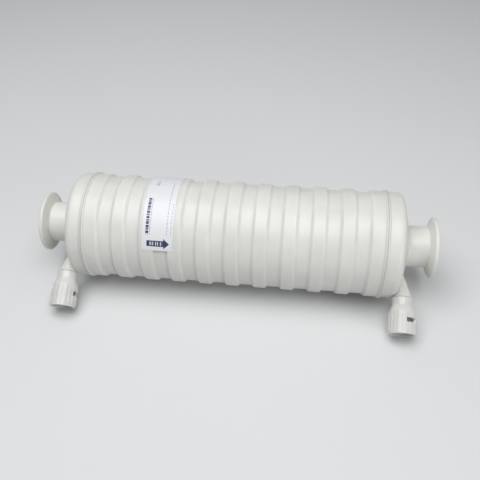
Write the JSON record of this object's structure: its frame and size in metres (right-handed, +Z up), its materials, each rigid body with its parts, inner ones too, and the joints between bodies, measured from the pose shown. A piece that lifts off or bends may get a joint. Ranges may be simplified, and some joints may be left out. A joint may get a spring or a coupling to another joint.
{
  "type": "capsule filter",
  "caption": "Ribbed plastic capsule filter with clamp flanges at both ends, a pleated cartridge inside and a turn-knob vent or drain valve leaning down from each end cap.",
  "frame": {"origin": "centre of the inlet flange's face", "axes": "+X along the capsule's axis from inlet to outlet, +Z up as it lies, both valve ports leaning down towards -Y"},
  "size_m": [0.3309, 0.1165, 0.0908],
  "materials": {
    "pp_housing": "satin natural polypropylene",
    "pp_knob": "clearer natural polypropylene",
    "pp_inner": "natural polypropylene inside the housing",
    "fleece": "bonded fleece",
    "membrane": "porous membrane",
    "seal": "translucent silicone",
    "label": "white printed film"
  },
  "bodies": {
    "housing": {"housing_tube": "pp_housing", "inlet_end_cap": "pp_housing", "outlet_end_cap": "pp_housing", "flow_label": "label", "upstream_fleece": "fleece", "membrane": "membrane", "downstream_fleece": "fleece", "cartridge_core": "pp_inner", "cartridge_cage": "pp_inner", "cartridge_open_plate": "pp_inner", "cartridge_closed_plate": "pp_inner"},
    "inlet_stem": {"inlet_valve_stem": "pp_knob", "inlet_valve_seat_ring": "seal", "inlet_valve_stem_ring": "seal"},
    "inlet_knob": {"inlet_valve_knob": "pp_knob"},
    "outlet_stem": {"outlet_valve_stem": "pp_knob", "outlet_valve_seat_ring": "seal", "outlet_valve_stem_ring": "seal"},
    "outlet_knob": {"outlet_valve_knob": "pp_knob"}
  },
  "joints": [
    {"name": "inlet_valve_lift", "type": "slide", "parent": "housing", "child": "inlet_stem", "axis": [0, -0.8779, -0.4788], "range_m": [0, 0.0015]},
    {"name": "inlet_knob_turn", "type": "hinge", "parent": "inlet_stem", "child": "inlet_knob", "pos_m": [0.02437, 0, 0], "axis": [0, -0.8779, -0.4788], "range_deg": [0, 180]},
    {"name": "outlet_valve_lift", "type": "slide", "parent": "housing", "child": "outlet_stem", "axis": [0, -0.8779, -0.4788], "range_m": [0, 0.0015]},
    {"name": "outlet_knob_turn", "type": "hinge", "parent": "outlet_stem", "child": "outlet_knob", "pos_m": [0.30657, 0, 0], "axis": [0, -0.8779, -0.4788], "range_deg": [0, 180]}
  ],
  "couplings": [
    {"joint": "inlet_valve_lift", "follows": "inlet_knob_turn", "m_per_rad": 0.000477},
    {"joint": "outlet_valve_lift", "follows": "outlet_knob_turn", "m_per_rad": 0.000477}
  ]
}
